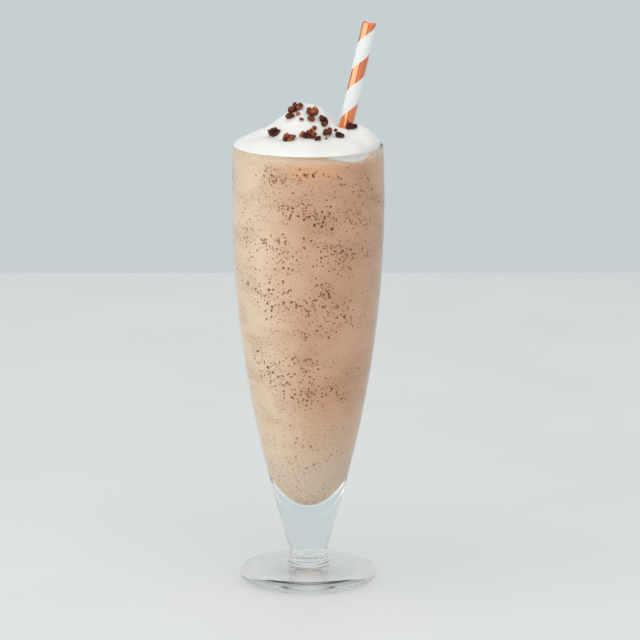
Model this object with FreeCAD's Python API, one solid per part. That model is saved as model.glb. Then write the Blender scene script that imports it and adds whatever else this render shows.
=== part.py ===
"""A milkshake in a tall footed glass, with whipped cream and a paper straw.

Millimetres, Z up. The origin is on the glass's axis, at the underside of its foot.
Each piece is one solid and goes to one STEP file in parts/.
"""
import math
import os

import FreeCAD
import Part

# Glass: overall sizes
glass_height = 199.0
bowl_radius = 34.1          # outside, at the widest place
bulge_below_rim = 24.0      # the bowl is widest this far under the rim
rim_draw_in = 0.5           # how far the outside closes in again at the rim

# Glass: wall and cavity
rim_wall = 2.0              # wall at the lip, which is a full round
lower_wall = 2.9            # wall where the rounded bottom begins
floor_below_stem_top = 0.2  # the cavity's lowest point, under the top of the solid stem
floor_rounding = 26.2       # height of the rounded bottom
floor_flatness = 6.5        # how wide the floor runs before it turns up
shoulder_radius = 10.2      # where the floor's curve is pulled towards
shoulder_rise = 7.7

# Glass: foot, collar and stem, from the ground up
foot_radius = 31.0
foot_edge_thickness = 5.6   # the edge is a full round
foot_rise = 1.2             # how much the foot's top rises towards the collar
foot_ring_width = 4.2       # flat ring that the glass stands on
foot_recess_depth = 0.8     # shallow hollow inside that ring
lower_bead_height = 4.4
lower_bead_proud = 0.8      # how far a bead stands out past the stem's foot
upper_bead_height = 3.1
upper_bead_proud = 0.3
collar_neck_inset = 0.2     # how far the grooves of the collar lie inside it
collar_step = 0.3
stem_foot_radius = 8.73
stem_length = 21.4

# Straw: a rolled paper tube that leans two ways
straw_diameter = 6.35
straw_wall = 0.4
straw_length = 187.65
straw_lean = 12.9           # degrees from upright, towards +X
straw_lean_back = 5.0       # and towards +Y
straw_rim_place = (14.9, 2.0)  # X and Y where the axis passes the height of the rim
straw_wall_clearance = 0.3  # from the straw's lower end to the glass

# Drink and cream
drink_below_rim = 1.4
cream_wall_inset = 0.4      # the cream stands this far inside the glass
cream_side_gap = 1.4        # and this much more on one side
cream_side_turn = -20.0     # degrees from +X to the middle of that side
cream_side_width = 24.0     # degrees over which it comes back to the glass
cream_edge_rise = 1.9       # height of the cream's edge above the drink
cream_edge_round = 1.5
mound_height = 7.2          # broad lower layer, above the drink
mound_fullness = 5          # how flat its top and how steep its sides are
dollop_height = 12.4        # on top of the mound
dollop_radius = 21.8
dollop_centre = (-0.7, 1.5)
lobe_height = 4.3           # soft fold behind and beside the straw
lobe_radius = 15.0
lobe_centre = (21.5, -2.5)
nook_depth = 4.0            # hollow where the fold meets the dollop
nook_radius = 7.0
nook_centre = (12.0, 1.0)
fold_height = 0.5           # low swirl folds round the mound
fold_count = 3
fold_twist = 9.0
cream_grid = 33             # points each way of the cream's top surface
cream_edge_points = 48
straw_edge_points = 24      # tried against the glass, round the straw's lower end


# Heights and radii that follow from the sizes above
collar_bottom = foot_edge_thickness + foot_rise
bead_split = collar_bottom + lower_bead_height
collar_top = bead_split + upper_bead_height + collar_step
stem_top = collar_top + stem_length
bulge_height = glass_height - bulge_below_rim
rim_height = glass_height - rim_wall / 2
cavity_floor = stem_top - floor_below_stem_top
side_foot = cavity_floor + floor_rounding
drink_level = glass_height - drink_below_rim
stem_share = 2 * stem_length / (bulge_height - stem_top)
stem_top_radius = (stem_foot_radius + stem_share * bowl_radius) / (1 + stem_share)


def vector(radius, height):
    """A point of a profile in the XZ half plane."""
    return FreeCAD.Vector(radius, 0, height)


def line(start, end):
    return Part.LineSegment(start, end).toShape()


def arc(start, middle, end):
    return Part.Arc(start, middle, end).toShape()


def bezier(*poles):
    curve = Part.BezierCurve()
    curve.setPoles(list(poles))
    return curve.toShape()


def revolve(edges):
    """The solid that a closed profile makes round the Z axis."""
    face = Part.Face(Part.Wire(edges))
    return face.revolve(FreeCAD.Vector(0, 0, 0), FreeCAD.Vector(0, 0, 1), 360)


def outer_radius(height):
    """Outside radius of the bowl: a parabola up to the bulge, then a slight draw-in.

    The stem is a cone that runs into the parabola without a kink.
    """
    if height <= bulge_height:
        share = (bulge_height - height) / (bulge_height - stem_top)
        return bowl_radius - (bowl_radius - stem_top_radius) * share ** 2
    share = (height - bulge_height) / bulge_below_rim
    return bowl_radius - rim_draw_in * share ** 2


def inner_radius(height):
    """Radius of the cavity above its rounded bottom: the outside less a wall that thins upwards."""
    share = (glass_height - height) / (glass_height - side_foot)
    wall = rim_wall + (lower_wall - rim_wall) * share
    return outer_radius(height) - wall


def parabola(low, high, radius_at):
    """The parabola that a radius follows between two heights, as a curve of three poles."""
    start = vector(radius_at(low), low)
    end = vector(radius_at(high), high)
    middle = (low + high) / 2
    pull = 2 * radius_at(middle) - (start.x + end.x) / 2
    return bezier(start, vector(pull, middle), end)


def side_slope(radius_at, height):
    """How fast a radius grows with height."""
    step = 0.01
    return (radius_at(height + step) - radius_at(height - step)) / (2 * step)


def outside_edges():
    """The glass's outside from the stem's foot to where the lip starts."""
    stem = line(vector(stem_foot_radius, collar_top), vector(stem_top_radius, stem_top))
    bowl = parabola(stem_top, bulge_height, outer_radius)
    rim = parabola(bulge_height, rim_height, outer_radius)
    return [stem, bowl, rim]


def floor_poles():
    """Poles of the cavity's rounded bottom, from its side down to the axis."""
    start = vector(inner_radius(side_foot), side_foot)
    drop = floor_rounding / 3
    run = start.x - side_slope(inner_radius, side_foot) * drop
    shoulder = vector(shoulder_radius, cavity_floor + shoulder_rise)
    flat = vector(floor_flatness, cavity_floor)
    return start, vector(run, side_foot - drop), shoulder, flat, vector(0, cavity_floor)


def cavity_radius(height):
    """Radius of the cavity at any height, found on the rounded bottom by halving."""
    if height >= side_foot:
        return inner_radius(height)
    curve = Part.BezierCurve()
    curve.setPoles(list(floor_poles()))
    low, high = 0.0, 1.0
    while high - low > 1e-6:
        middle = (low + high) / 2
        if curve.value(middle).z > height:
            low = middle
        else:
            high = middle
    return curve.value(low).x


def cavity_edges():
    """The cavity from the lip down to the axis: its side, then the rounded bottom."""
    upper = parabola(bulge_height, rim_height, inner_radius)
    side = parabola(side_foot, bulge_height, inner_radius)
    return [upper, side, bezier(*floor_poles())]


def bead(low, high, radius, neck):
    """One rounded ring of the collar, drawn from its upper to its lower edge."""
    return arc(vector(neck, high), vector(radius, (low + high) / 2), vector(neck, low))


def foot_edges():
    """Collar and foot, from the stem's foot round to the middle of the underside."""
    edge = foot_edge_thickness / 2
    edge_centre = foot_radius - edge
    recess_radius = edge_centre - foot_ring_width
    recess_middle = vector(recess_radius / 2, foot_recess_depth * 0.75)
    neck = stem_foot_radius - collar_neck_inset
    upper_top = bead_split + upper_bead_height
    return [
        line(vector(stem_foot_radius, collar_top), vector(neck, upper_top)),
        bead(bead_split, upper_top, stem_foot_radius + upper_bead_proud, neck),
        bead(collar_bottom, bead_split, stem_foot_radius + lower_bead_proud, neck),
        line(vector(neck, collar_bottom), vector(edge_centre, foot_edge_thickness)),
        arc(vector(edge_centre, foot_edge_thickness), vector(foot_radius, edge), vector(edge_centre, 0)),
        line(vector(edge_centre, 0), vector(recess_radius, 0)),
        arc(vector(recess_radius, 0), recess_middle, vector(0, foot_recess_depth)),
    ]


def glass():
    """Bowl, solid stem, collar and foot in one revolved piece."""
    lip_out = vector(outer_radius(rim_height), rim_height)
    lip_in = vector(inner_radius(rim_height), rim_height)
    lip = arc(lip_out, vector((lip_out.x + lip_in.x) / 2, glass_height), lip_in)
    axis = line(vector(0, cavity_floor), vector(0, foot_recess_depth))
    edges = outside_edges() + [lip] + cavity_edges() + [axis] + foot_edges()
    return revolve(Part.__sortEdges__(edges))


def cavity_below(height):
    """The cavity's space up to a height near the rim, as one solid."""
    middle = vector(0, rim_height)
    lid = line(middle, vector(inner_radius(rim_height), rim_height))
    axis = line(vector(0, cavity_floor), middle)
    space = revolve(Part.__sortEdges__(cavity_edges() + [axis, lid]))
    return space.common(Part.makeCylinder(2 * bowl_radius, height))


def straw_direction():
    """Unit vector up the straw's axis."""
    lean = math.tan(math.radians(straw_lean))
    lean_back = math.tan(math.radians(straw_lean_back))
    return FreeCAD.Vector(lean, lean_back, 1).normalize()


def straw_foot():
    """The middle of the straw's lower end, found by walking its axis down to the glass."""
    direction = straw_direction()
    tilt = FreeCAD.Rotation(FreeCAD.Vector(0, 0, 1), direction)
    half = straw_diameter / 2
    turns = [2 * math.pi * k / straw_edge_points for k in range(straw_edge_points)]
    edge = [tilt.multVec(FreeCAD.Vector(half * math.cos(t), half * math.sin(t), 0)) for t in turns]
    middle = FreeCAD.Vector(*straw_rim_place, glass_height)
    step = direction * 0.05
    while True:
        for spot in [middle + offset for offset in edge]:
            if math.hypot(spot.x, spot.y) + straw_wall_clearance > cavity_radius(spot.z):
                return middle
        middle = middle - step


def straw_rod(radius, low=0.0, high=straw_length):
    """A rod on the straw's axis; low and high are measured along it from the lower end."""
    direction = straw_direction()
    return Part.makeCylinder(radius, high - low, straw_foot() + direction * low, direction)


def straw():
    """A paper tube with square-cut open ends."""
    bore = straw_diameter / 2 - straw_wall
    over = straw_wall
    return straw_rod(straw_diameter / 2).cut(straw_rod(bore, -over, straw_length + over))


def milkshake(tube):
    """The drink up to its level, round the straw and inside it."""
    return cavity_below(drink_level).cut(tube)


def bump(x, y, centre, radius, height):
    """A soft rounded hill that is level at its top and at its edge."""
    share = math.hypot(x - centre[0], y - centre[1]) / radius
    return height * max(0.0, 1 - share ** 2) ** 2


def cream_edge(angle):
    """Radius of the cream's edge at this angle from +X: on one side it stands back from the glass."""
    turn = (math.degrees(angle) - cream_side_turn + 180) % 360 - 180
    side = math.exp(-(turn / cream_side_width) ** 2)
    return inner_radius(drink_level) - cream_wall_inset - cream_side_gap * side


def cream_height(x, y):
    """Height of the cream's top surface above the drink."""
    angle = math.atan2(y, x)
    share = math.hypot(x, y) / cream_edge(angle)
    mound = cream_edge_rise + (mound_height - cream_edge_rise) * (1 - share ** mound_fullness)
    swirl = share * max(0.0, 1 - share) * 4
    folds = fold_height * swirl * math.sin(fold_count * angle + fold_twist * share)
    raised = bump(x, y, dollop_centre, dollop_radius, dollop_height)
    raised += bump(x, y, lobe_centre, lobe_radius, lobe_height)
    return mound + folds + raised - bump(x, y, nook_centre, nook_radius, nook_depth)


def cream_top():
    """The cream's top surface, a little wider than the cavity."""
    reach = inner_radius(drink_level) + 1
    steps = [reach * (2 * i / (cream_grid - 1) - 1) for i in range(cream_grid)]
    rows = [[FreeCAD.Vector(x, y, drink_level + cream_height(x, y)) for x in steps] for y in steps]
    surface = Part.BSplineSurface()
    surface.interpolate(rows)
    return surface.toShape()


def cream_outline():
    """The cream's edge where it stands on the drink."""
    points = []
    for k in range(cream_edge_points):
        angle = 2 * math.pi * k / cream_edge_points
        radius = cream_edge(angle)
        points.append(FreeCAD.Vector(radius * math.cos(angle), radius * math.sin(angle), drink_level))
    outline = Part.BSplineCurve()
    outline.interpolate(points, True)
    return Part.Face(Part.Wire(outline.toShape()))


def whipped_cream():
    """The dome of cream, with a rounded edge, cut round the straw."""
    depth = 2 * (mound_height + dollop_height)
    column = cream_outline().extrude(FreeCAD.Vector(0, 0, depth))
    block = cream_top().extrude(FreeCAD.Vector(0, 0, -depth))
    dome = column.common(block).Solids[0]
    middle = drink_level + cream_edge_rise / 2
    crests = [edge for edge in dome.Edges if edge.BoundBox.ZMin > middle and edge.Length > bowl_radius]
    rounded = dome.makeFillet(cream_edge_round, crests)
    return rounded.cut(straw_rod(straw_diameter / 2))


def save(name, shape):
    """Write one piece, which has to be one valid solid."""
    if len(shape.Solids) != 1 or not shape.isValid():
        raise ValueError(name + " is not one valid solid")
    shape.Solids[0].exportStep("parts/" + name + ".step")
    print(name, "volume", round(shape.Volume / 1000, 2), "cm3", shape.BoundBox)


def main():
    os.makedirs("parts", exist_ok=True)
    tube = straw()
    save("glass", glass())
    save("milkshake", milkshake(tube))
    save("whipped_cream", whipped_cream())
    save("straw", tube)


main()
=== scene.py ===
import math
import random

import bmesh
import bpy
from mathutils import Matrix, Vector, noise
from mathutils.bvhtree import BVHTree


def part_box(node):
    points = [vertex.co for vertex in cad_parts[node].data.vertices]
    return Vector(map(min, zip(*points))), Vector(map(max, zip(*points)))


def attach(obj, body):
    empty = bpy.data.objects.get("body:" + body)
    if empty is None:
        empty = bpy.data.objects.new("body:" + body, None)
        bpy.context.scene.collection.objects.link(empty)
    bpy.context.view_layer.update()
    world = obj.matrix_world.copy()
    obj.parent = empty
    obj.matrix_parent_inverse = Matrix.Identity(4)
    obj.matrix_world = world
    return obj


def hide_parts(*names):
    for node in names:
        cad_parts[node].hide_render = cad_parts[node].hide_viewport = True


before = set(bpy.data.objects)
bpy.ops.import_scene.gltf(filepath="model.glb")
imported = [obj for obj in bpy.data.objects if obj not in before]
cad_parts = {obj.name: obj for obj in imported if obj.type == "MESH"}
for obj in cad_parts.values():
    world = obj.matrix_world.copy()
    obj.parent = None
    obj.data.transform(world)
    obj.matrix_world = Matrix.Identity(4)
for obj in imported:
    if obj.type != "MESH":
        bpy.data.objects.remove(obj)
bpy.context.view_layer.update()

mm = 0.001

# the pale table, the air behind it, the lamps and the camera
stageSet = {
    "floorReach": 0.70, "floorSides": 8, "floorRise": 0.05 * mm,
    "floorLight": (0.825, 0.80, 0.785), "floorDark": (0.775, 0.762, 0.755), "floorRough": 0.45,
    "floorClouds": 7.0,
    "wallColour": (0.565, 0.630, 0.650), "wallStrength": 1.0,
}
cameraSet = {
    "distance": 1.85, "height": 0.5135, "tilt": 12.026, "aside": 0.00526, "lens": 237.36, "farthest": 20.0,
}
lampSet = {
    "colour": (1.0, 0.985, 0.96), "aimHeight": 0.12,
    "lamps": {
        "window": {"at": (-1.45, -0.95, 0.66), "size": (3.2, 0.75), "power": 14.0},
        "front": {"at": (1.35, -1.35, 1.0), "size": (2.8, 2.1), "power": 10.8},
        "above": {"at": (-0.3, -0.5, 1.9), "size": (2.2, 2.2), "power": 12.0},
    },
}


def newObject(name, mesh):
    thing = bpy.data.objects.new(name, mesh)
    bpy.context.scene.collection.objects.link(thing)
    return thing


def meshFrom(bm, name, smooth=True):
    mesh = bpy.data.meshes.new(name)
    bm.to_mesh(mesh)
    bm.free()
    for face in mesh.polygons:
        face.use_smooth = smooth
    return newObject(name, mesh)


def settle(piece, slot, material, *nodes):
    # what every finished piece needs: finish, body, and the CAD nodes it stands for
    piece.data.materials.append(material)
    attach(piece, "root")
    if nodes:
        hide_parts(*nodes)


def treeOf(thing):
    bm = bmesh.new()
    bm.from_mesh(thing.data)
    tree = BVHTree.FromBMesh(bm)
    bm.free()
    return tree


def turnFrom(angle, degrees):
    # signed difference of two directions round the axis, in degrees
    return (math.degrees(angle) - degrees + 180.0) % 360.0 - 180.0


def makeMaterial(name, roughness=0.5):
    material = bpy.data.materials.new(name)
    material.use_nodes = True
    tree = material.node_tree
    shader = tree.nodes["Principled BSDF"]
    shader.inputs["Roughness"].default_value = roughness
    return material, tree, shader


def addNode(tree, kind, **values):
    node = tree.nodes.new(kind)
    for key, value in values.items():
        setattr(node, key, value)
    return node


def setInputs(node, **values):
    for key, value in values.items():
        node.inputs[key].default_value = value


def ramp(tree, stops):
    node = tree.nodes.new("ShaderNodeValToRGB")
    elements = node.color_ramp.elements
    while len(elements) < len(stops):
        elements.new(0.5)
    for element, (place, colour) in zip(elements, stops):
        element.position = place
        element.color = (*colour, 1.0)
    return node


def greys(*stops):
    return [(place, (value, value, value)) for place, value in stops]


def mottleGroup():
    # cloudy change between two colours, with the same clouds as a height
    group = bpy.data.node_groups.new("mottle", "ShaderNodeTree")
    face = group.interface
    for name, kind in (("Scale", "Float"), ("Detail", "Float"), ("Contrast", "Float"), ("Stretch", "Vector"),
                       ("Dark", "Color"), ("Light", "Color")):
        face.new_socket(name, in_out="INPUT", socket_type="NodeSocket" + kind)
    face.new_socket("Color", in_out="OUTPUT", socket_type="NodeSocketColor")
    face.new_socket("Height", in_out="OUTPUT", socket_type="NodeSocketFloat")
    start = group.nodes.new("NodeGroupInput")
    end = group.nodes.new("NodeGroupOutput")
    coords = group.nodes.new("ShaderNodeTexCoord")
    stretch = addNode(group, "ShaderNodeVectorMath", operation="MULTIPLY")
    cloud = group.nodes.new("ShaderNodeTexNoise")
    cloud.inputs["Distortion"].default_value = 0.5
    centre = addNode(group, "ShaderNodeMath", operation="SUBTRACT")
    centre.inputs[1].default_value = 0.5
    spread = addNode(group, "ShaderNodeMath", operation="MULTIPLY_ADD", use_clamp=True)
    spread.inputs[2].default_value = 0.5
    blend = addNode(group, "ShaderNodeMix", data_type="RGBA")
    link = group.links.new
    link(coords.outputs["Object"], stretch.inputs[0])
    link(start.outputs["Stretch"], stretch.inputs[1])
    link(stretch.outputs["Vector"], cloud.inputs["Vector"])
    link(start.outputs["Scale"], cloud.inputs["Scale"])
    link(start.outputs["Detail"], cloud.inputs["Detail"])
    link(cloud.outputs["Fac"], centre.inputs[0])
    link(centre.outputs["Value"], spread.inputs[0])
    link(start.outputs["Contrast"], spread.inputs[1])
    link(spread.outputs["Value"], blend.inputs["Factor"])
    link(start.outputs["Dark"], blend.inputs["A"])
    link(start.outputs["Light"], blend.inputs["B"])
    link(blend.outputs["Result"], end.inputs["Color"])
    link(spread.outputs["Value"], end.inputs["Height"])
    return group


def heightFadeGroup():
    # rises smoothly from 0 at one height to a full share at another
    group = bpy.data.node_groups.new("heightFade", "ShaderNodeTree")
    for name in ("Start", "End", "Share"):
        group.interface.new_socket(name, in_out="INPUT", socket_type="NodeSocketFloat")
    group.interface.new_socket("Fade", in_out="OUTPUT", socket_type="NodeSocketFloat")
    start = group.nodes.new("NodeGroupInput")
    end = group.nodes.new("NodeGroupOutput")
    coords = group.nodes.new("ShaderNodeTexCoord")
    parts = group.nodes.new("ShaderNodeSeparateXYZ")
    fade = addNode(group, "ShaderNodeMapRange", interpolation_type="SMOOTHSTEP")
    link = group.links.new
    link(coords.outputs["Object"], parts.inputs["Vector"])
    link(parts.outputs["Z"], fade.inputs["Value"])
    link(start.outputs["Start"], fade.inputs["From Min"])
    link(start.outputs["End"], fade.inputs["From Max"])
    link(start.outputs["Share"], fade.inputs["To Max"])
    link(fade.outputs["Result"], end.inputs["Fade"])
    return group


def heightFade(tree, start, end, share):
    node = addNode(tree, "ShaderNodeGroup", node_tree=heightFadeTree)
    setInputs(node, Start=start, End=end, Share=share)
    return node.outputs["Fade"]


black = (0.0, 0.0, 0.0)
white = (1.0, 1.0, 1.0)


def mottle(tree, scale, dark, light, contrast=2.0, detail=3.0, stretch=(1.0, 1.0, 1.0)):
    node = addNode(tree, "ShaderNodeGroup", node_tree=mottleTree)
    setInputs(node, Scale=scale, Detail=detail, Contrast=contrast, Stretch=stretch, Dark=(*dark, 1.0),
              Light=(*light, 1.0))
    return node


def roughen(tree, shader, height, strength, distance):
    # a height socket as relief on the shader's normal
    bump = tree.nodes.new("ShaderNodeBump")
    setInputs(bump, Strength=strength, Distance=distance)
    tree.links.new(height, bump.inputs["Height"])
    tree.links.new(bump.outputs["Normal"], shader.inputs["Normal"])


def makeFloor():
    material, tree, shader = makeMaterial("paleTable", stageSet["floorRough"])
    stone = mottle(tree, stageSet["floorClouds"], stageSet["floorDark"], stageSet["floorLight"])
    tree.links.new(stone.outputs["Color"], shader.inputs["Base Color"])
    bm = bmesh.new()
    sides = stageSet["floorSides"]
    corner = stageSet["floorReach"] / math.cos(math.pi / sides)
    bmesh.ops.create_circle(bm, cap_ends=True, segments=sides, radius=corner)
    half = Matrix.Rotation(math.pi / sides, 3, "Z")
    bmesh.ops.rotate(bm, verts=bm.verts, cent=(0.0, 0.0, 0.0), matrix=half)
    # the table presses on the foot, so no film of air shows between them
    bmesh.ops.translate(bm, verts=bm.verts, vec=(0.0, 0.0, stageSet["floorRise"]))
    floor = meshFrom(bm, "floor", False)
    floor.data.materials.append(material)


def makeAir():
    world = bpy.data.worlds.new("air")
    bpy.context.scene.world = world
    world.use_nodes = True
    back = world.node_tree.nodes["Background"]
    back.inputs["Color"].default_value = (*stageSet["wallColour"], 1.0)
    back.inputs["Strength"].default_value = stageSet["wallStrength"]


def makeLamp(name, values):
    data = bpy.data.lights.new(name, "AREA")
    data.shape = "RECTANGLE"
    data.size, data.size_y = values["size"]
    data.energy = values["power"]
    data.color = lampSet["colour"]
    lamp = newObject(name, data)
    lamp.location = values["at"]
    aim = Vector((0.0, 0.0, lampSet["aimHeight"])) - lamp.location
    lamp.rotation_euler = aim.to_track_quat("-Z", "Y").to_euler()


def makeCamera():
    data = bpy.data.cameras.new("camera")
    data.lens = cameraSet["lens"]
    data.clip_end = cameraSet["farthest"]
    camera = newObject("camera", data)
    camera.location = (cameraSet["aside"], -cameraSet["distance"], cameraSet["height"])
    camera.rotation_euler = (math.radians(90.0 - cameraSet["tilt"]), 0.0, 0.0)
    bpy.context.scene.camera = camera


mottleTree = mottleGroup()
heightFadeTree = heightFadeGroup()
makeFloor()
makeAir()
for lampName, lampValues in lampSet["lamps"].items():
    makeLamp(lampName, lampValues)
makeCamera()
bpy.context.scene.view_settings.view_transform = "Standard"
print("set ready")


# places read from the frame
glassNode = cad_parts["glass"]
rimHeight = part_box("glass")[1].z
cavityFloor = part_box("milkshake")[0].z
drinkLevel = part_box("milkshake")[1].z
glassTree = treeOf(glassNode)


def cavityRadius(height):
    # inner wall of the glass, found by looking outwards from the axis
    hit = glassTree.ray_cast(Vector((0.0, 0.0, height)), Vector((0.0, 1.0, 0.0)))
    return hit[3]


glassSet = {
    "tint": (0.985, 0.995, 0.993), "ior": 1.5, "shadowTint": (0.97, 0.98, 0.98),
    "wave": 22.0, "waveShape": (1.2, 1.0, (1.0, 1.0, 0.45)), "waveStrength": 0.05, "waveDepth": 0.4 * mm,
    "footHaze": (14.0 * mm, 5.0 * mm, 0.12),  # duller from the first height down to the second
}


def glassMaterial():
    material, tree, shader = makeMaterial("clearGlass", 0.0)
    setInputs(shader, **{
        "Base Color": (*glassSet["tint"], 1.0), "IOR": glassSet["ior"], "Transmission Weight": 1.0,
    })
    wave = mottle(tree, glassSet["wave"], black, white, *glassSet["waveShape"])
    roughen(tree, shader, wave.outputs["Height"], glassSet["waveStrength"], glassSet["waveDepth"])
    tree.links.new(heightFade(tree, *glassSet["footHaze"]), shader.inputs["Roughness"])
    # lamps and soft light reach what is inside
    clear = tree.nodes.new("ShaderNodeBsdfTransparent")
    clear.inputs["Color"].default_value = (*glassSet["shadowTint"], 1.0)
    path = tree.nodes.new("ShaderNodeLightPath")
    mix = tree.nodes.new("ShaderNodeMixShader")
    tree.links.new(path.outputs["Is Shadow Ray"], mix.inputs["Fac"])
    tree.links.new(shader.outputs["BSDF"], mix.inputs[1])
    tree.links.new(clear.outputs["BSDF"], mix.inputs[2])
    tree.links.new(mix.outputs["Shader"], tree.nodes["Material Output"].inputs["Surface"])
    return material


def dressGlass():
    glassNode.data.materials.clear()
    glassNode.data.materials.append(glassMaterial())
    for face in glassNode.data.polygons:
        face.use_smooth = True


dressGlass()
print("glass dressed")


drinkSet = {
    "intoWall": 0.2 * mm, "steps": 180, "rows": 90, "rowCrowding": 1.5, "topRings": 14, "topCrowding": 0.6,
    "skin": 0.02 * mm, "merge": 0.002 * mm, "edgeZone": 8.0 * mm, "wallShare": 0.95,
    "filmTop": -0.12 * mm, "filmWidth": 2.2 * mm,
    "dipDepth": 3.3 * mm, "dipTurn": -47.0, "dipLeft": 25.0, "dipRight": 14.0,
    "waveHeight": 0.3 * mm, "waveCount": 9.0, "waveStart": 0.7,
    "rough": 0.6, "shine": 0.15, "relief": 0.15, "reliefDepth": 0.2 * mm,
    "dark": (0.640, 0.345, 0.208), "light": (0.745, 0.462, 0.312),
    "bodyScale": 30.0, "bodyShape": (3.4, 5.0, (1.0, 1.0, 1.5)),
    # the pale colour below is painted on the sides as painted light and a painted reflection, and is also
    # blended in at the top and the bottom of the drink
    "paleToneDark": (0.785, 0.600, 0.435), "paleToneLight": (0.85, 0.68, 0.515),
    "paleToneScale": 24.0, "paleToneShape": (2.0, 4.0, (1.0, 1.0, 1.5)), "paintedLightWaver": 0.07,
    # how pale the drink is painted round the glass, as painted light from the window at -X and a painted
    # reflection of the wall at +X: 0 and 1 at -X, a quarter at the front, a half at +X
    "paintedLightRound": (
        (0.05, 1.0), (0.185, 0.95), (0.235, 0.50), (0.29, 0.04), (0.40, 0.0), (0.47, 0.30), (0.54, 0.30),
        (0.62, 0.0), (0.80, 0.0), (0.95, 1.0)),
    "warm": (0.86, 0.46, 0.235), "warmPlace": (2.0 * mm, -31.5 * mm, 193.0 * mm), "warmReach": 12.0 * mm,
    "warmShape": (0.7, 0.7, 2.2), "warmStops": ((0.0, 0.0), (0.7, 0.75)),
    "patchScale": 60.0, "patchShape": (2.5, 2.0, (1.0, 1.0, 2.0)),
    "haze": (0.50, 0.30, 0.195), "hazeStops": ((0.4, 0.0), (1.0, 0.28)),
    "speck": (0.36, 0.165, 0.085), "speckScale": 760.0,
    "speckWhere": ((0.35, 0.08), (0.75, 0.75)), "speckStops": ((0.16, 1.0), (0.34, 0.0)),
    "bottomFade": (95.0 * mm, 40.0 * mm, 1.0), "topFade": (193.0 * mm, 197.0 * mm, 0.75),
    "wallIndex": 0.9, "mirror": (0.97, 0.97, 0.96), "mirrorRough": 0.12,
}


def edgeLevel(angle):
    # where the drink ends on the wall: a film climbs it to the lip, and the cream pushes it down at one place
    turn = turnFrom(angle, drinkSet["dipTurn"])
    width = drinkSet["dipRight"] if turn > 0.0 else drinkSet["dipLeft"]
    dip = math.exp(-(turn / width) ** 2)
    wave = drinkSet["waveHeight"] * math.sin(drinkSet["waveCount"] * angle + drinkSet["waveStart"]) * dip
    return rimHeight + drinkSet["filmTop"] - drinkSet["dipDepth"] * dip + wave


def blendColours(tree, factor, first, second):
    node = addNode(tree, "ShaderNodeMix", data_type="RGBA")
    tree.links.new(factor, node.inputs["Factor"])
    tree.links.new(first, node.inputs["A"])
    if isinstance(second, tuple):
        node.inputs["B"].default_value = (*second, 1.0)
    else:
        tree.links.new(second, node.inputs["B"])
    return node.outputs["Result"]


def paintedLightSide(tree, height):
    # 1 where the pale colour is painted on round the glass, as painted light from the window at -X and a
    # painted reflection of the wall at +X, with a wavering border
    around = addNode(tree, "ShaderNodeTexGradient", gradient_type="RADIAL")
    coords = tree.nodes.new("ShaderNodeTexCoord")
    waver = addNode(tree, "ShaderNodeMath", operation="MULTIPLY_ADD")
    waver.inputs[1].default_value = drinkSet["paintedLightWaver"]
    side = ramp(tree, greys(*drinkSet["paintedLightRound"]))
    tree.links.new(coords.outputs["Object"], around.inputs["Vector"])
    tree.links.new(height, waver.inputs[0])
    tree.links.new(around.outputs["Fac"], waver.inputs[2])
    tree.links.new(waver.outputs["Value"], side.inputs["Fac"])
    return side.outputs["Color"]


def warmPatch(tree):
    # 1 at the middle of the warmer patch under the rim, fading out round it
    coords = tree.nodes.new("ShaderNodeTexCoord")
    mapping = tree.nodes.new("ShaderNodeMapping")
    scale = [share / drinkSet["warmReach"] for share in drinkSet["warmShape"]]
    mapping.inputs["Scale"].default_value = scale
    mapping.inputs["Location"].default_value = [-p * s for p, s in zip(drinkSet["warmPlace"], scale)]
    ball = addNode(tree, "ShaderNodeTexGradient", gradient_type="SPHERICAL")
    soft = ramp(tree, greys(*drinkSet["warmStops"]))
    tree.links.new(coords.outputs["Object"], mapping.inputs["Vector"])
    tree.links.new(mapping.outputs["Vector"], ball.inputs["Vector"])
    tree.links.new(ball.outputs["Fac"], soft.inputs["Fac"])
    return soft.outputs["Color"]


def timesRamp(tree, value, stops, other=None):
    # a value through a ramp of greys, and times another value where one is given
    shaped = ramp(tree, greys(*stops))
    tree.links.new(value, shaped.inputs["Fac"])
    if other is None:
        return shaped.outputs["Color"]
    both = addNode(tree, "ShaderNodeMath", operation="MULTIPLY")
    tree.links.new(shaped.outputs["Color"], both.inputs[0])
    tree.links.new(other, both.inputs[1])
    return both.outputs["Value"]


def cocoaDust(tree, patches):
    # specks too fine to be pieces, thicker in some clouds than in others
    coords = tree.nodes.new("ShaderNodeTexCoord")
    cells = tree.nodes.new("ShaderNodeTexVoronoi")
    cells.inputs["Scale"].default_value = drinkSet["speckScale"]
    tree.links.new(coords.outputs["Object"], cells.inputs["Vector"])
    where = timesRamp(tree, patches, drinkSet["speckWhere"])
    return timesRamp(tree, cells.outputs["Distance"], drinkSet["speckStops"], where)


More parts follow.
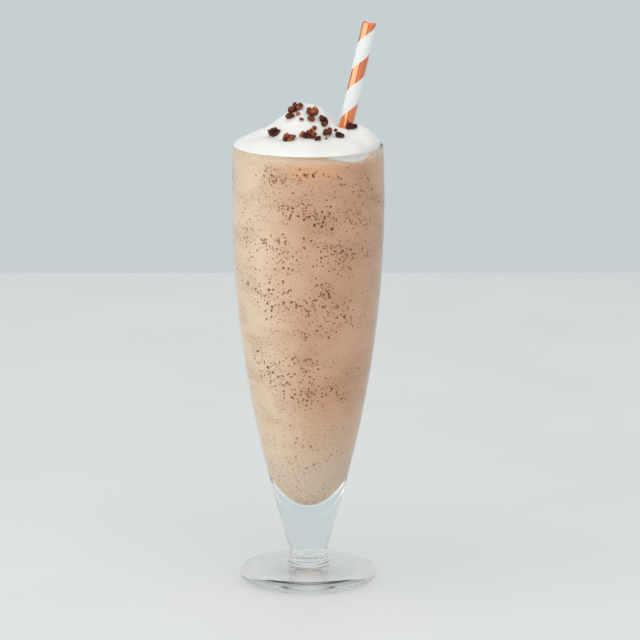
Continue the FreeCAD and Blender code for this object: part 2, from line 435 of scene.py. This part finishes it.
def drinkMaterial():
    material, tree, shader = makeMaterial("milkshake", drinkSet["rough"])
    shader.inputs["Specular IOR Level"].default_value = drinkSet["shine"]
    body = mottle(tree, drinkSet["bodyScale"], drinkSet["dark"], drinkSet["light"], *drinkSet["bodyShape"])
    paleTone = mottle(
        tree, drinkSet["paleToneScale"], drinkSet["paleToneDark"], drinkSet["paleToneLight"], *drinkSet["paleToneShape"])
    patches = mottle(tree, drinkSet["patchScale"], black, white, *drinkSet["patchShape"])
    # the pale colour on the sides is painted light from the window at -X and a painted reflection of the wall
    # at +X
    paintedLightMask = paintedLightSide(tree, paleTone.outputs["Height"])
    colour = blendColours(tree, paintedLightMask, body.outputs["Color"], paleTone.outputs["Color"])
    haze = timesRamp(tree, patches.outputs["Height"], drinkSet["hazeStops"])
    colour = blendColours(tree, haze, colour, drinkSet["haze"])
    colour = blendColours(tree, heightFade(tree, *drinkSet["bottomFade"]), colour, paleTone.outputs["Color"])
    colour = blendColours(tree, warmPatch(tree), colour, drinkSet["warm"])
    colour = blendColours(tree, heightFade(tree, *drinkSet["topFade"]), colour, paleTone.outputs["Color"])
    colour = blendColours(tree, cocoaDust(tree, patches.outputs["Height"]), colour, drinkSet["speck"])
    tree.links.new(colour, shader.inputs["Base Color"])
    roughen(tree, shader, body.outputs["Height"], drinkSet["relief"], drinkSet["reliefDepth"])
    # past a steep angle the glass mirrors at the drink, which shows as a bright line under it
    edge = tree.nodes.new("ShaderNodeFresnel")
    edge.inputs["IOR"].default_value = drinkSet["wallIndex"]
    mirror = addNode(tree, "ShaderNodeBsdfGlossy")
    setInputs(mirror, Color=(*drinkSet["mirror"], 1.0), Roughness=drinkSet["mirrorRough"])
    mix = tree.nodes.new("ShaderNodeMixShader")
    tree.links.new(edge.outputs["Fac"], mix.inputs["Fac"])
    tree.links.new(shader.outputs["BSDF"], mix.inputs[1])
    tree.links.new(mirror.outputs["BSDF"], mix.inputs[2])
    tree.links.new(mix.outputs["Shader"], tree.nodes["Material Output"].inputs["Surface"])
    return material


def makeDrink():
    rows = drinkSet["rows"]
    over = drinkSet["intoWall"]
    skin = drinkSet["skin"]
    bm = bmesh.new()
    profile = [bm.verts.new((0.0, 0.0, cavityFloor - over))]
    for i in range(1, rows + 1):
        depth = drinkLevel - skin - cavityFloor
        height = cavityFloor + skin + depth * (i / rows) ** drinkSet["rowCrowding"]
        profile.append(bm.verts.new((cavityRadius(height) + over, 0.0, height)))
    top = profile[-1].co.x
    for i in range(1, drinkSet["topRings"] + 1):
        share = 1.0 - (i / drinkSet["topRings"]) ** drinkSet["topCrowding"]
        profile.append(bm.verts.new((top * share, 0.0, drinkLevel)))
    edges = [bm.edges.new(pair) for pair in zip(profile, profile[1:])]
    bmesh.ops.spin(
        bm, geom=profile + edges, cent=(0.0, 0.0, 0.0), axis=(0.0, 0.0, 1.0), dvec=(0.0, 0.0, 0.0),
        angle=2.0 * math.pi, steps=drinkSet["steps"], use_merge=True, use_duplicate=False)
    bmesh.ops.remove_doubles(bm, verts=bm.verts, dist=drinkSet["merge"])
    bmesh.ops.recalc_face_normals(bm, faces=bm.faces)
    zone = drinkSet["edgeZone"]
    for vertex in bm.verts:
        if vertex.co.z > drinkLevel - zone:
            angle = math.atan2(vertex.co.y, vertex.co.x)
            reach = math.hypot(vertex.co.x, vertex.co.y)
            near = max(0.0, 1.0 - (top - reach) / drinkSet["filmWidth"])
            share = 1.0 - (drinkLevel - vertex.co.z) / zone
            vertex.co.z += (edgeLevel(angle) - drinkLevel) * min(1.0, near) ** 2 * share
            if near > drinkSet["wallShare"]:
                reach = cavityRadius(vertex.co.z) + over
                vertex.co.x = reach * math.cos(angle)
                vertex.co.y = reach * math.sin(angle)
    drink = meshFrom(bm, "drink")
    settle(drink, "milkshake", drinkMaterial(), "milkshake")


makeDrink()
print("drink poured")


# clusters of flecks that lie against the glass, as turn from -Y towards +X, height, half width in degrees,
# half height, count, and how dark they are
fleckSet = {
    "clusters": [
        (-24, 189, 13, 3.5, 40, 0.35), (7, 190.5, 17, 1.6, 10, 0.8), (43, 183, 18, 7, 30, 0.55),
        (-20, 176, 7, 4, 16, 0.5), (6, 172, 18, 6, 46, 0.85), (42, 169, 18, 6, 26, 0.55),
        (-56, 162, 13, 11, 20, 0.35), (-36, 160, 7, 3, 12, 0.7), (-18, 155, 10, 9, 38, 0.7),
        (25, 154, 17, 7, 50, 0.65), (50, 156, 11, 3, 10, 0.5), (14, 139, 6, 5, 16, 0.6),
        (-30, 135, 21, 8, 50, 0.7), (12, 129, 26, 8, 66, 0.75), (-8, 118, 10, 2, 7, 0.6),
        (-33, 100, 22, 8, 62, 0.55), (-2, 103, 13, 6, 28, 0.5), (28, 91, 18, 3, 16, 0.7),
        (-1, 90, 11, 5, 20, 0.6), (2, 69, 31, 15, 22, 0.35),
    ],
    "large": [
        (-2, 191.0, 1.5), (-3, 171.1, 1.1), (6, 171.5, 1.1), (12, 170.1, 1.1), (5, 168.4, 1.1),
        (17, 173.6, 1.0), (-27, 148.3, 1.3), (-16, 138.8, 1.3), (-46, 132.3, 1.2), (-31, 131.3, 1.3),
        (24, 93.2, 1.3), (37, 88.4, 1.3), (40, 99.3, 1.1), (55, 101.0, 1.1),
    ],
    "lowest": 46.0, "highest": 193.5, "more": 3.2, "spread": 0.62, "farthest": 1.7, "slant": 0.12,
    "paler": 0.08, "toneSpread": 0.30,
    "backClusters": 24, "backTurns": (80.0, 280.0), "backHeights": (60.0, 192.0), "backWidths": (8.0, 24.0),
    "backTalls": (2.0, 9.0), "backCounts": (12, 55), "backTones": (0.35, 0.8),
    "loose": 420, "looseBands": 6, "looseFrom": 50.0, "bandHeight": 24.0, "looseSize": 0.40,
    "looseTones": (0.0, 0.5),
    "smallest": 0.42, "largest": 1.40, "mostlySmall": 2.3, "thickness": 0.10, "proud": 0.02 * mm,
    "narrowest": 0.55, "knobs": (0.72, 1.22), "rough": 0.7, "grainScale": 1500.0, "grain": (0.30, 0.13, 0.06),
    "grainShare": 0.25, "seed": 41,
    "dark": (0.130, 0.030, 0.003), "middle": (0.29, 0.118, 0.048), "faint": (0.46, 0.25, 0.15),
}


def addFleck(bm, layer, draw, turn, height, size, tone):
    # one flat crumb of cocoa against the wall: turn in degrees, height and size in millimetres
    angle = math.radians(turn - 90.0)
    level = min(fleckSet["highest"], max(fleckSet["lowest"], height)) * mm
    outward = Vector((math.cos(angle), math.sin(angle), 0.0))
    sideways = Vector((-math.sin(angle), math.cos(angle), 0.0))
    across = size * mm / 2.0
    along = across * draw.uniform(fleckSet["narrowest"], 1.0)
    thick = fleckSet["thickness"] * mm
    place = outward * (cavityRadius(level) + drinkSet["intoWall"] + fleckSet["proud"])
    basis = Matrix((sideways, Vector((0.0, 0.0, 1.0)), outward)).transposed().to_4x4()
    spin = Matrix.Rotation(draw.uniform(0.0, math.pi), 4, "Z")
    shape = Matrix.Diagonal((across, along, thick, 1.0))
    made = bmesh.ops.create_icosphere(bm, subdivisions=1, radius=1.0, matrix=basis @ spin @ shape)["verts"]
    for vertex in made:
        vertex.co *= draw.uniform(*fleckSet["knobs"])
    centre = Vector((place.x, place.y, level))
    bmesh.ops.translate(bm, verts=made, vec=centre)
    for vertex in made:
        for face in vertex.link_faces:
            face[layer] = tone


def fleckSize(draw):
    # most are small, a few are large
    span = fleckSet["largest"] - fleckSet["smallest"]
    return fleckSet["smallest"] + span * draw.random() ** fleckSet["mostlySmall"]


def addPatch(whole, flecks, draw):
    # one cluster is made by itself and then joined on, which is quicker
    bm = bmesh.new()
    layer = bm.faces.layers.float.new("tone")
    for turn, height, size, tone in flecks:
        addFleck(bm, layer, draw, turn, height, size, tone)
    bmesh.ops.recalc_face_normals(bm, faces=bm.faces)
    part = bpy.data.meshes.new("patch")
    bm.to_mesh(part)
    bm.free()
    whole.from_mesh(part)
    bpy.data.meshes.remove(part)


def clusterFlecks(draw, turn, height, width, tall, count, darkness):
    flecks = []
    far = fleckSet["farthest"]
    for i in range(int(count * fleckSet["more"])):
        across = max(-far, min(far, draw.gauss(0.0, fleckSet["spread"])))
        up = max(-far, min(far, draw.gauss(0.0, fleckSet["spread"])))
        tone = min(1.0, max(0.0, draw.gauss(darkness - fleckSet["paler"], fleckSet["toneSpread"])))
        rise = tall * up - fleckSet["slant"] * across * width
        flecks.append((turn + width * across, height + rise, fleckSize(draw), tone))
    return flecks


def fleckMaterial():
    material, tree, shader = makeMaterial("cocoaFleck", fleckSet["rough"])
    shader.inputs["Specular IOR Level"].default_value = 0.0
    tone = tree.nodes.new("ShaderNodeAttribute")
    tone.attribute_name = "tone"
    colours = ramp(tree, [(0.0, fleckSet["faint"]), (0.5, fleckSet["middle"]), (1.0, fleckSet["dark"])])
    grain = mottle(tree, fleckSet["grainScale"], black, fleckSet["grain"], 2.0, 1.0)
    worn = addNode(tree, "ShaderNodeMix", data_type="RGBA", blend_type="ADD")
    worn.inputs["Factor"].default_value = fleckSet["grainShare"]
    tree.links.new(tone.outputs["Fac"], colours.inputs["Fac"])
    tree.links.new(colours.outputs["Color"], worn.inputs["A"])
    tree.links.new(grain.outputs["Color"], worn.inputs["B"])
    tree.links.new(worn.outputs["Result"], shader.inputs["Base Color"])
    return material


def makeFlecks():
    draw = random.Random(fleckSet["seed"])
    whole = bmesh.new()
    whole.faces.layers.float.new("tone")
    clusters = list(fleckSet["clusters"])
    for i in range(fleckSet["backClusters"]):
        clusters.append((
            draw.uniform(*fleckSet["backTurns"]), draw.uniform(*fleckSet["backHeights"]),
            draw.uniform(*fleckSet["backWidths"]), draw.uniform(*fleckSet["backTalls"]),
            draw.randint(*fleckSet["backCounts"]), draw.uniform(*fleckSet["backTones"])))
    for cluster in clusters:
        addPatch(whole, clusterFlecks(draw, *cluster), draw)
    addPatch(whole, [(*place, 1.0) for place in fleckSet["large"]], draw)
    for i in range(fleckSet["looseBands"]):
        low = fleckSet["looseFrom"] + fleckSet["bandHeight"] * i
        high = low + fleckSet["bandHeight"]
        loose = []
        for k in range(fleckSet["loose"] // fleckSet["looseBands"]):
            turn = draw.uniform(0.0, 360.0)
            height = draw.uniform(low, high)
            loose.append((turn, height, fleckSet["looseSize"], draw.uniform(*fleckSet["looseTones"])))
        addPatch(whole, loose, draw)
    flecks = meshFrom(whole, "flecks", False)
    settle(flecks, "chocolate", fleckMaterial())


makeFlecks()
print("flecks scattered")


creamSet = {
    "segments": 224, "rings": 150, "overLip": 1.6, "intoWall": 0.15, "round": 1.8,
    "gap": 0.9, "gapTurn": -20.0, "gapWidth": 24.0,
    "edgeRise": 1.9, "moundHeight": 7.2, "fullness": 5.0,
    "dollop": ((-0.7, 1.5), 21.8, 12.4), "lobe": ((21.5, -2.5), 15.0, 4.3), "nook": ((13.6, -0.6), 7.6, 5.2),
    "ripples": [((19.0, -17.0), 9.0, 1.0), ((9.0, -23.0), 8.0, -0.6), ((-19.0, -14.0), 10.0, 0.5)],
    "foldHeight": 0.5, "foldCount": 3, "foldTwist": 9.0, "lumps": 0.35, "lumpSize": 7.0,
    # how far down its skin, from 0 at the top to 1 under its middle, the cream reaches its edge, lip and foot
    "turns": (0.62, 0.68, 0.84), "sunk": 1.5, "overLipEdge": 0.1, "gapEdge": 0.2, "crowding": 0.9,
    "lipDrop": 0.4,
    "merge": 0.002 * mm, "rough": 0.5, "shine": 0.35, "scatter": 0.35, "scatterDepth": 0.003,
    "toneScale": 90.0, "bubbleScale": 900.0, "relief": 0.12, "reliefDepth": 0.15 * mm,
    "colour": (0.865, 0.828, 0.785), "shade": (0.82, 0.782, 0.73),
}


def bump(x, y, centre, radius, height):
    share = math.hypot(x - centre[0], y - centre[1]) / radius
    return height * max(0.0, 1.0 - share ** 2) ** 2


def creamGap(angle):
    # 1 where the cream stands back from the glass, 0 where it lies on the lip
    return math.exp(-(turnFrom(angle, creamSet["gapTurn"]) / creamSet["gapWidth"]) ** 2)


def creamReach(angle):
    gap = creamGap(angle)
    return wallAtDrink + creamSet["overLip"] * (1.0 - gap) - creamSet["gap"] * gap


def creamHeight(x, y):
    # height of the cream's top above the drink, all in millimetres
    angle = math.atan2(y, x)
    share = math.hypot(x, y) / creamReach(angle)
    rise = creamSet["moundHeight"] - creamSet["edgeRise"]
    mound = creamSet["edgeRise"] + rise * (1.0 - min(1.0, share) ** creamSet["fullness"])
    swirl = share * max(0.0, 1.0 - share) * 4.0
    folds = math.sin(creamSet["foldCount"] * angle + creamSet["foldTwist"] * share)
    folds *= creamSet["foldHeight"] * swirl
    raised = bump(x, y, *creamSet["dollop"]) + bump(x, y, *creamSet["lobe"]) - bump(x, y, *creamSet["nook"])
    raised += sum(bump(x, y, *ripple) for ripple in creamSet["ripples"])
    spot = Vector((x, y, 3.0)) / creamSet["lumpSize"]
    lumps = creamSet["lumps"] * noise.noise(spot) * min(1.0, 4.0 * max(0.0, 1.0 - share))
    return mound + folds + raised + lumps


def creamPoint(angle, turn):
    # one point of the cream's skin: turn runs from 0 at the top to 1 under its middle
    edge = creamReach(angle)
    gap = creamGap(angle)
    lip = (rimHeight - drinkLevel) / mm
    foot = (edgeLevel(angle) - drinkLevel) / mm - creamSet["sunk"]
    edgeFoot = (lip + creamSet["overLipEdge"]) * (1.0 - gap) - creamSet["gapEdge"] * gap
    topTurn, lipTurn, footTurn = creamSet["turns"]
    if turn <= topTurn:
        reach = edge * math.sin(turn / topTurn * math.pi / 2.0) ** creamSet["crowding"]
        into = max(0.0, (reach - edge) / creamSet["round"] + 1.0)
        drop = creamHeight(edge * math.cos(angle), edge * math.sin(angle)) - edgeFoot
        height = creamHeight(reach * math.cos(angle), reach * math.sin(angle))
        height -= drop * (1.0 - math.sqrt(max(0.0, 1.0 - into ** 2)))
    elif turn <= footTurn:
        start = min(edgeFoot, lip - creamSet["lipDrop"])
        share = max(0.0, (turn - lipTurn) / (footTurn - lipTurn))
        height = start + (foot - start) * share
        reach = cavityRadius(drinkLevel + height * mm) / mm + creamSet["intoWall"]
        if turn < lipTurn:
            share = (turn - topTurn) / (lipTurn - topTurn)
            height = edgeFoot + (start - edgeFoot) * share
            reach = edge + (reach - edge) * share ** 2
    else:
        share = (turn - footTurn) / (1.0 - footTurn)
        reach = (cavityRadius(drinkLevel + foot * mm) / mm + creamSet["intoWall"]) * (1.0 - share)
        height = foot - math.sin(share * math.pi / 2.0)
    return Vector((reach * math.cos(angle) * mm, reach * math.sin(angle) * mm, drinkLevel + height * mm))


def creamMaterial():
    material, tree, shader = makeMaterial("whippedCream", creamSet["rough"])
    setInputs(shader, **{
        "Subsurface Weight": creamSet["scatter"], "Subsurface Scale": creamSet["scatterDepth"],
        "Specular IOR Level": creamSet["shine"],
    })
    tones = mottle(tree, creamSet["toneScale"], creamSet["shade"], creamSet["colour"], 2.0, 3.0)
    tree.links.new(tones.outputs["Color"], shader.inputs["Base Color"])
    bubbles = mottle(tree, creamSet["bubbleScale"], black, white, 2.0, 2.0)
    roughen(tree, shader, bubbles.outputs["Height"], creamSet["relief"], creamSet["reliefDepth"])
    return material


def makeCream():
    bm = bmesh.new()
    bmesh.ops.create_uvsphere(bm, u_segments=creamSet["segments"], v_segments=creamSet["rings"], radius=1.0)
    for vertex in bm.verts:
        angle = math.atan2(vertex.co.y, vertex.co.x)
        turn = math.acos(max(-1.0, min(1.0, vertex.co.z))) / math.pi
        vertex.co = creamPoint(angle, turn)
    bmesh.ops.remove_doubles(bm, verts=bm.verts, dist=creamSet["merge"])
    bmesh.ops.recalc_face_normals(bm, faces=bm.faces)
    cream = meshFrom(bm, "cream")
    settle(cream, "cream", creamMaterial(), "whipped_cream")
    return cream


wallAtDrink = cavityRadius(drinkLevel - 0.2 * mm) / mm
cream = makeCream()
print("cream piled")


# crumbs on the cream: x, y and size in millimetres, number of lumps, how long they are for their width, and
# how light they are
crumbSet = {
    "crumbs": [
        (-4.2, -3.2, 5.4, 8, 1.5, 0.5), (-6.8, -4.2, 4.6, 7, 0.9, 0.45), (-7.6, -7.0, 4.8, 8, 1.0, 0.55),
        (-4.6, -6.8, 2.4, 4, 1.0, 0.9), (-3.0, -9.2, 1.9, 3, 1.0, 0.7), (1.6, -5.8, 7.4, 10, 0.8, 0.7),
        (1.2, -8.8, 3.8, 5, 0.8, 0.5), (6.6, -8.0, 4.8, 7, 0.6, 0.25), (7.2, -10.0, 4.6, 7, 0.9, 0.25),
        (2.6, -12.8, 3.0, 5, 1.0, 0.7), (-14.7, -10.2, 6.4, 5, 0.75, 0.0), (-8.0, -18.6, 6.6, 12, 1.0, 0.7),
        (-9.6, -17.2, 3.2, 5, 1.4, 0.6), (-0.4, -17.2, 6.4, 9, 1.1, 0.35), (1.8, -18.2, 5.4, 8, 1.1, 0.4),
        (4.2, -21.2, 3.0, 4, 2.8, 0.2), (8.3, -14.8, 6.2, 9, 1.4, 0.4),
        (12.0, -10.4, 1.6, 3, 1.0, 0.3), (14.2, -14.0, 4.4, 6, 1.8, 0.15), (18.6, -6.2, 5.6, 7, 1.2, 0.05),
        (8.0, -18.6, 1.0, 2, 1.0, 0.4), (-5.0, 16.0, 4.2, 8, 1.3, 0.5), (4.0, 19.0, 4.6, 9, 1.2, 0.5),
        (-12.0, 20.0, 3.2, 6, 1.0, 0.5), (11.5, 20.0, 2.6, 5, 1.0, 0.5),
    ],
    "sink": 0.10, "sinkMore": 0.04, "heading": 0.9, "lumpRadius": (0.50, 0.72), "crowding": 0.55,
    "away": (0.35, 0.95), "wide": (0.8, 1.3), "deep": (0.8, 1.2), "high": (0.7, 1.1),
    "knobDepth": 0.5, "knobSize": 0.8, "fineKnobSize": 0.35, "toneSpread": 0.22, "seed": 17,
    "dark": (0.040, 0.006, 0.003), "middle": (0.26, 0.050, 0.016), "light": (0.66, 0.215, 0.085),
    "rough": 0.36, "shine": 0.2, "grain": (0.22, 0.17, 0.16), "grainScale": 600.0, "grainShare": 0.8,
    "relief": 0.5, "reliefDepth": 0.25 * mm,
}


def creamSeat(size):
    # how much of a crumb sinks in, as a share of its size
    return crumbSet["sink"] + crumbSet["sinkMore"] * size


def addCrumb(bm, layer, draw, x, y, size, lumps, run, lit):
    # a knobbly crumb of chocolate: lumps grown together, seated on the cream
    heading = draw.uniform(-crumbSet["heading"], crumbSet["heading"])
    hit = creamTree.ray_cast(Vector((x * mm, y * mm, rimHeight + 0.1)), Vector((0.0, 0.0, -1.0)))
    seat = hit[0] + hit[1] * (size * (0.5 - creamSeat(size)) * mm)
    for i in range(lumps):
        radius = size * mm * draw.uniform(*crumbSet["lumpRadius"]) / lumps ** crumbSet["crowding"]
        spread = (size * mm / 2.0 - radius) if lumps > 1 else 0.0
        turn = 2.0 * math.pi * (i / lumps) + draw.uniform(-0.5, 0.5)
        away = spread * draw.uniform(*crumbSet["away"])
        along = math.cos(turn) * away * run ** 0.5
        across = math.sin(turn) * away * 0.8 / run ** 0.5
        offset = Vector((along, across, draw.uniform(-0.35, 1.0) * away))
        offset = Matrix.Rotation(heading, 3, "Z") @ offset
        stretch = [draw.uniform(*crumbSet[name]) for name in ("wide", "deep", "high")]
        squash = Matrix.Diagonal((*stretch, 1.0))
        turned = Matrix.Rotation(draw.uniform(0.0, math.pi), 4, "Z") @ squash
        made = bmesh.ops.create_icosphere(bm, subdivisions=3, radius=radius, matrix=turned)["verts"]
        seed = Vector((draw.uniform(0.0, 50.0), draw.uniform(0.0, 50.0), 0.0))
        for vertex in made:
            coarse = noise.noise(vertex.co / (radius * crumbSet["knobSize"]) + seed)
            fine = noise.noise(vertex.co / (radius * crumbSet["fineKnobSize"]) + seed)
            vertex.co *= 1.0 + crumbSet["knobDepth"] * (coarse + 0.5 * fine)
        bmesh.ops.translate(bm, verts=made, vec=seat + offset)
        tone = min(1.0, max(0.0, draw.gauss(lit, crumbSet["toneSpread"])))
        for vertex in made:
            for face in vertex.link_faces:
                face[layer] = tone


def crumbMaterial():
    material, tree, shader = makeMaterial("chocolateCrumb", crumbSet["rough"])
    shader.inputs["Specular IOR Level"].default_value = crumbSet["shine"]
    tone = tree.nodes.new("ShaderNodeAttribute")
    tone.attribute_name = "tone"
    colours = ramp(tree, [(0.0, crumbSet["dark"]), (0.55, crumbSet["middle"]), (1.0, crumbSet["light"])])
    grain = mottle(tree, crumbSet["grainScale"], crumbSet["grain"], white, 3.4, 3.0)
    worn = addNode(tree, "ShaderNodeMix", data_type="RGBA", blend_type="MULTIPLY")
    worn.inputs["Factor"].default_value = crumbSet["grainShare"]
    tree.links.new(tone.outputs["Fac"], colours.inputs["Fac"])
    tree.links.new(colours.outputs["Color"], worn.inputs["A"])
    tree.links.new(grain.outputs["Color"], worn.inputs["B"])
    tree.links.new(worn.outputs["Result"], shader.inputs["Base Color"])
    roughen(tree, shader, grain.outputs["Height"], crumbSet["relief"], crumbSet["reliefDepth"])
    return material


def makeCrumbs():
    draw = random.Random(crumbSet["seed"])
    bm = bmesh.new()
    layer = bm.faces.layers.float.new("tone")
    for crumb in crumbSet["crumbs"]:
        addCrumb(bm, layer, draw, *crumb)
    bmesh.ops.recalc_face_normals(bm, faces=bm.faces)
    crumbs = meshFrom(bm, "crumbs")
    settle(crumbs, "chocolate", crumbMaterial())


creamTree = treeOf(cream)
makeCrumbs()
print("crumbs dropped")


strawSet = {
    "diameter": 6.35 * mm, "wall": 0.4 * mm, "columns": 64, "row": 0.8 * mm,
    "pitch": 22.0 * mm, "foilShare": 0.43, "phase": 14.6,
    "paper": (0.86, 0.855, 0.84), "paperShade": (0.80, 0.795, 0.78), "foil": (0.95, 0.225, 0.030),
    "foilShade": (0.88, 0.155, 0.022), "coatIndex": 2.0, "coatRough": 0.10, "paperRough": 0.62,
    "foilRough": 0.24, "foilMetal": 0.92, "relief": 0.12, "reliefDepth": 0.1 * mm, "endSteps": 20,
}


def strawEnds():
    # middles of the straw's two ends, from its box: a round end turned across the axis widens the box
    low, high = (Vector(corner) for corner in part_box("straw"))
    radius = strawSet["diameter"] / 2.0
    direction = (high - low).normalized()
    for i in range(strawSet["endSteps"]):
        rim = Vector([radius * math.sqrt(max(0.0, 1.0 - part ** 2)) for part in direction])
        direction = (high - low - 2.0 * rim).normalized()
    return low + rim, high - rim


def strawMaterial():
    material, tree, shader = makeMaterial("stripedPaper")
    stripe = tree.nodes.new("ShaderNodeAttribute")
    stripe.attribute_name = "stripe"
    paper = mottle(tree, 900.0, strawSet["paperShade"], strawSet["paper"], 1.5, 3.0, (1.0, 1.0, 0.3))
    foil = mottle(tree, 300.0, strawSet["foilShade"], strawSet["foil"], 2.5, 2.0, (1.0, 1.0, 0.4))
    colour = blendColours(tree, stripe.outputs["Fac"], paper.outputs["Color"], foil.outputs["Color"])
    rough = ramp(tree, greys((0.0, strawSet["paperRough"]), (1.0, strawSet["foilRough"])))
    metal = ramp(tree, greys((0.0, 0.0), (1.0, strawSet["foilMetal"])))
    setInputs(shader, **{"Coat Roughness": strawSet["coatRough"], "Coat IOR": strawSet["coatIndex"]})
    tree.links.new(stripe.outputs["Fac"], shader.inputs["Coat Weight"])
    tree.links.new(stripe.outputs["Fac"], rough.inputs["Fac"])
    tree.links.new(stripe.outputs["Fac"], metal.inputs["Fac"])
    tree.links.new(colour, shader.inputs["Base Color"])
    tree.links.new(rough.outputs["Color"], shader.inputs["Roughness"])
    tree.links.new(metal.outputs["Color"], shader.inputs["Metallic"])
    roughen(tree, shader, paper.outputs["Height"], strawSet["relief"], strawSet["reliefDepth"])
    return material


def makeStraw():
    foot, head = strawEnds()
    length = (head - foot).length
    rows = int(length / strawSet["row"])
    twist = Matrix.Rotation(2.0 * math.pi * (length / rows) / strawSet["pitch"], 3, "Z")
    bm = bmesh.new()
    # the wall's thickness is put on outside this ring
    bore = strawSet["diameter"] / 2.0 - strawSet["wall"]
    ring = bmesh.ops.create_circle(bm, segments=strawSet["columns"], radius=bore)["verts"]
    start = Matrix.Rotation(math.radians(strawSet["phase"]), 3, "Z")
    bmesh.ops.rotate(bm, verts=ring, cent=(0.0, 0.0, 0.0), matrix=start)
    edges = list(bm.edges)
    for i in range(rows):
        grown = bmesh.ops.extrude_edge_only(bm, edges=edges)["geom"]
        ring = [part for part in grown if isinstance(part, bmesh.types.BMVert)]
        edges = [part for part in grown if isinstance(part, bmesh.types.BMEdge)]
        bmesh.ops.translate(bm, verts=ring, vec=(0.0, 0.0, length / rows))
        bmesh.ops.rotate(bm, verts=ring, cent=(0.0, 0.0, 0.0), matrix=twist)
    layer = bm.faces.layers.float.new("stripe")
    for face in bm.faces:
        middle = face.calc_center_median()
        turn = math.degrees(math.atan2(middle.y, middle.x)) - strawSet["phase"]
        share = (turn / 360.0 - middle.z / strawSet["pitch"]) % 1.0
        face[layer] = 1.0 if share < strawSet["foilShare"] else 0.0
    bmesh.ops.recalc_face_normals(bm, faces=bm.faces)
    bmesh.ops.solidify(bm, geom=list(bm.faces), thickness=strawSet["wall"])
    tilt = Vector((0.0, 0.0, 1.0)).rotation_difference(head - foot).to_matrix()
    bmesh.ops.rotate(bm, verts=bm.verts, cent=(0.0, 0.0, 0.0), matrix=tilt)
    bmesh.ops.translate(bm, verts=bm.verts, vec=foot)
    straw = meshFrom(bm, "straw")
    settle(straw, "straw_paper", strawMaterial(), "straw")


makeStraw()
print("straw rolled")
